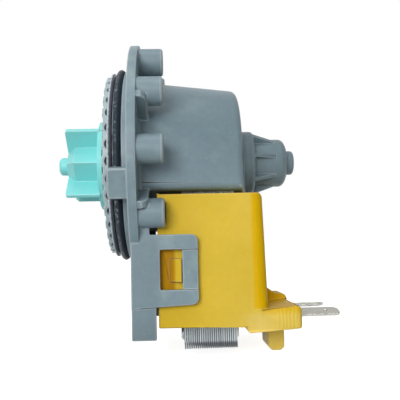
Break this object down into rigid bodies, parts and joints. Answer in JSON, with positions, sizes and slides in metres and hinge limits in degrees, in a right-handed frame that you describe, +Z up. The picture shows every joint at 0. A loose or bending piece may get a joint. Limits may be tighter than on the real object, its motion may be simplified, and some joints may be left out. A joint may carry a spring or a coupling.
{
  "type": "drain pump",
  "caption": "Washing machine drain pump: round flange with seal ring and paddle impeller, rotor drum, clip-on coil cover and spade terminals.",
  "frame": {"origin": "on the rotor axis, in the plane of the mounting flange's front face", "axes": "+X along the rotor axis from the impeller towards the rear bearing, +Z up, away from the coils"},
  "size_m": [0.0905, 0.079, 0.1016],
  "materials": {
    "housing_plastic": "satin grey filled thermoplastic",
    "seal_rubber": "smooth black rubber",
    "cap_plastic": "satin light grey plastic",
    "steel": "ground steel",
    "bush_bronze": "sintered bronze",
    "core_steel": "stacked electrical steel sheets",
    "bobbin_plastic": "natural nylon",
    "copper_wire": "enamelled copper wire",
    "cover_plastic": "satin yellow polyester",
    "tinned_metal": "tin plated",
    "ferrite": "ground ferrite",
    "impeller_plastic": "semi-gloss turquoise plastic"
  },
  "bodies": {
    "stator": {"housing": "housing_plastic", "o_ring": "seal_rubber", "front_cap": "cap_plastic", "shaft_seal": "seal_rubber", "seal_retainer": "steel", "front_bush": "bush_bronze", "front_bush_mount": "seal_rubber", "rear_bush": "bush_bronze", "rear_bush_mount": "seal_rubber", "core": "core_steel", "core_rivets": "steel", "bobbin_left": "bobbin_plastic", "bobbin_right": "bobbin_plastic", "winding_left": "copper_wire", "winding_right": "copper_wire", "coil_cover": "cover_plastic", "terminal_left": "tinned_metal", "terminal_right": "tinned_metal", "thermal_fuse": "steel"},
    "rotor": {"rotor_shaft": "steel", "rotor_magnet": "ferrite", "rotor_cap_front": "bobbin_plastic", "rotor_cap_rear": "bobbin_plastic", "thrust_washer_front": "cap_plastic", "thrust_washer_rear": "cap_plastic", "drive_dog": "bobbin_plastic"},
    "impeller_body": {"impeller": "impeller_plastic", "impeller_ring": "impeller_plastic"}
  },
  "joints": [
    {"name": "rotor_spin", "type": "hinge", "parent": "stator", "child": "rotor", "pos_m": [0.024, 0, 0], "axis": [1, 0, 0], "continuous": true},
    {"name": "impeller_free_travel", "type": "hinge", "parent": "rotor", "child": "impeller_body", "pos_m": [-0.016, 0, 0], "axis": [1, 0, 0], "range_deg": [-105, 105]}
  ]
}
